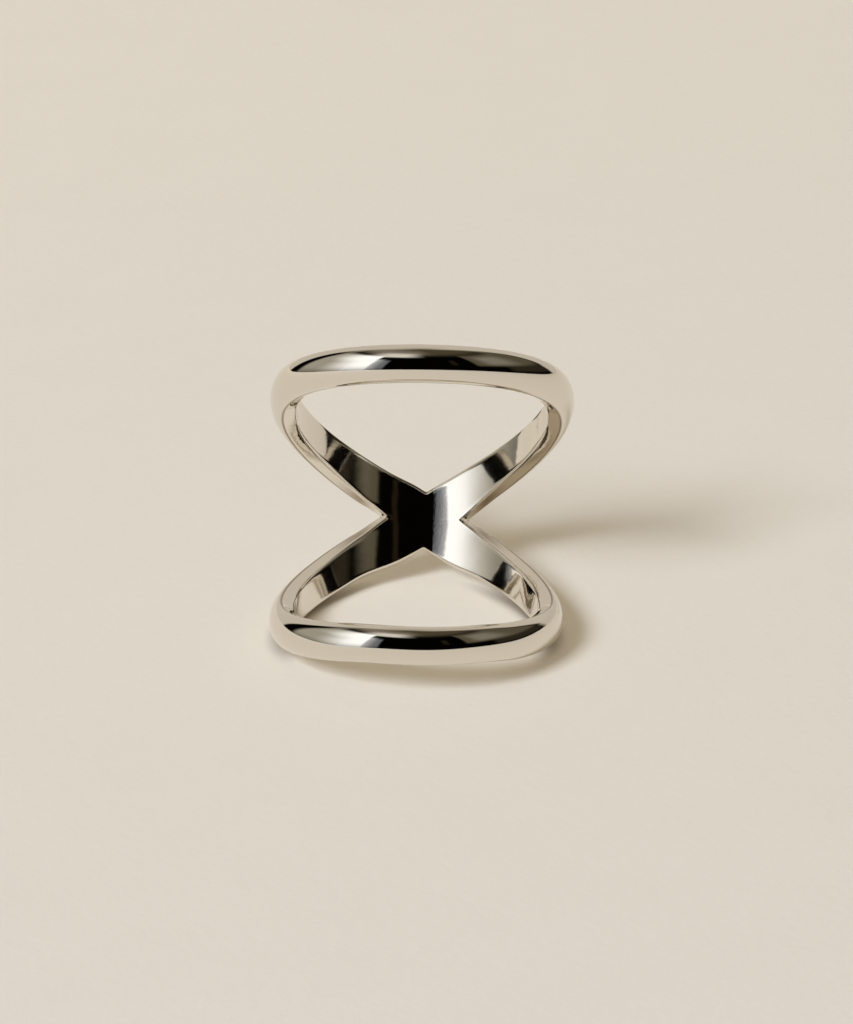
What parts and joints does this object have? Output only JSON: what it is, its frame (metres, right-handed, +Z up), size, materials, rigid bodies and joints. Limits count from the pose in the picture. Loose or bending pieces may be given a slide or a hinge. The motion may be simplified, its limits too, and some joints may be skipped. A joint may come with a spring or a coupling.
{
  "type": "pinky ring",
  "caption": "Open crossover ring: domed polished strips cross at the back of the finger and sweep round its sides into level front arcs.",
  "frame": {"origin": "on the table under the middle of the ring's box, as the ring rests by itself", "axes": "+Z up from the table, front arcs towards -Y, crossing towards +Y; the finger axis leans back from +Z towards +Y by 26.5 degrees"},
  "size_m": [0.018, 0.0202, 0.0192],
  "materials": {
    "silver": "mirror polish with faint hand-polishing marks"
  },
  "bodies": {
    "root": {"ring": "silver"}
  },
  "joints": []
}
